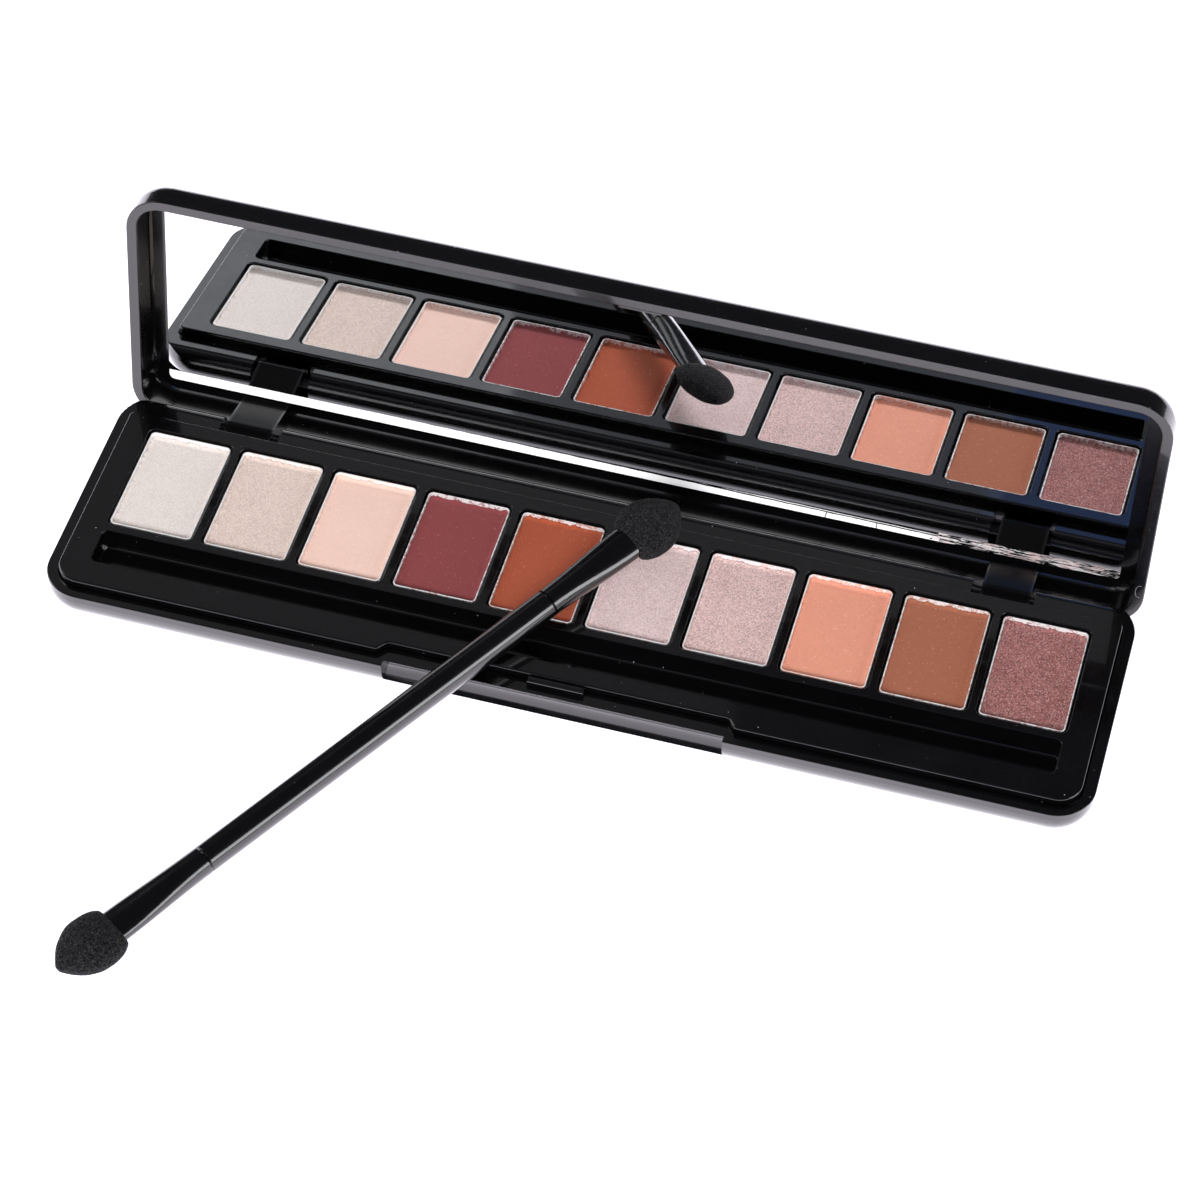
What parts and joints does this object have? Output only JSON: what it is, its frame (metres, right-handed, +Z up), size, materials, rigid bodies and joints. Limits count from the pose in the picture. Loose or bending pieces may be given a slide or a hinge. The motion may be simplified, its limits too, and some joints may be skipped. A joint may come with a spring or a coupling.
{
  "type": "eyeshadow palette",
  "caption": "Slim hinged eyeshadow palette with a row of pressed-powder pans, applicator trough, mirror lid and a double-ended sponge applicator.",
  "frame": {"origin": "centre of the underside of the base", "axes": "+X along the palette to its right-hand end, +Y from the front edge to the hinge, +Z up"},
  "size_m": [0.1718, 0.1239, 0.047],
  "materials": {
    "case_black": "polished black",
    "tray_black": "polished black",
    "pan_tin": "bright pressed",
    "glue": "dried glue",
    "pin_steel": "black oxide",
    "mirror": "silvered",
    "mirror_edge": "bright ground edge",
    "tape": "double-sided tape",
    "applicator_black": "polished black",
    "foam": "open-cell latex foam",
    "shade_01": "pearl white shimmer pressed powder",
    "shade_02": "champagne shimmer pressed powder",
    "shade_03": "light peach matte pressed powder",
    "shade_04": "burgundy matte pressed powder",
    "shade_05": "brick matte pressed powder",
    "shade_06": "lilac pink shimmer pressed powder",
    "shade_07": "taupe pink shimmer pressed powder",
    "shade_08": "coral matte pressed powder",
    "shade_09": "caramel matte pressed powder",
    "shade_10": "mauve shimmer pressed powder"
  },
  "bodies": {
    "base": {"base_shell": "case_black", "pan_tray": "tray_black", "pan_01": "pan_tin", "pan_02": "pan_tin", "pan_03": "pan_tin", "pan_04": "pan_tin", "pan_05": "pan_tin", "pan_06": "pan_tin", "pan_07": "pan_tin", "pan_08": "pan_tin", "pan_09": "pan_tin", "pan_10": "pan_tin", "powder_01": "shade_01", "powder_02": "shade_02", "powder_03": "shade_03", "powder_04": "shade_04", "powder_05": "shade_05", "powder_06": "shade_06", "powder_07": "shade_07", "powder_08": "shade_08", "powder_09": "shade_09", "powder_10": "shade_10", "pan_glue": "glue", "catch_nub": "case_black", "hinge_pin_right": "pin_steel", "hinge_pin_left": "pin_steel"},
    "lid": {"lid_shell": "case_black", "mirror_glass": "mirror", "mirror_edge_strip": "mirror_edge", "mirror_tape": "tape"},
    "applicator": {"applicator_handle": "applicator_black", "ferrule_upper": "applicator_black", "ferrule_lower": "applicator_black", "sponge_tip_upper": "foam", "sponge_tip_lower": "foam"}
  },
  "joints": [
    {"name": "lid_hinge", "type": "hinge", "parent": "base", "child": "lid", "pos_m": [0, 0.02036, 0.00441], "axis": [1, 0, 0], "range_deg": [0, 96.8]},
    {"name": "applicator_slide", "type": "slide", "parent": "base", "child": "applicator", "axis": [0, -1, 0], "range_m": [0, 0.06]}
  ],
  "couplings": [
    {"joint": "applicator_slide", "follows": "lid_hinge", "m_per_rad": 0.03548}
  ]
}
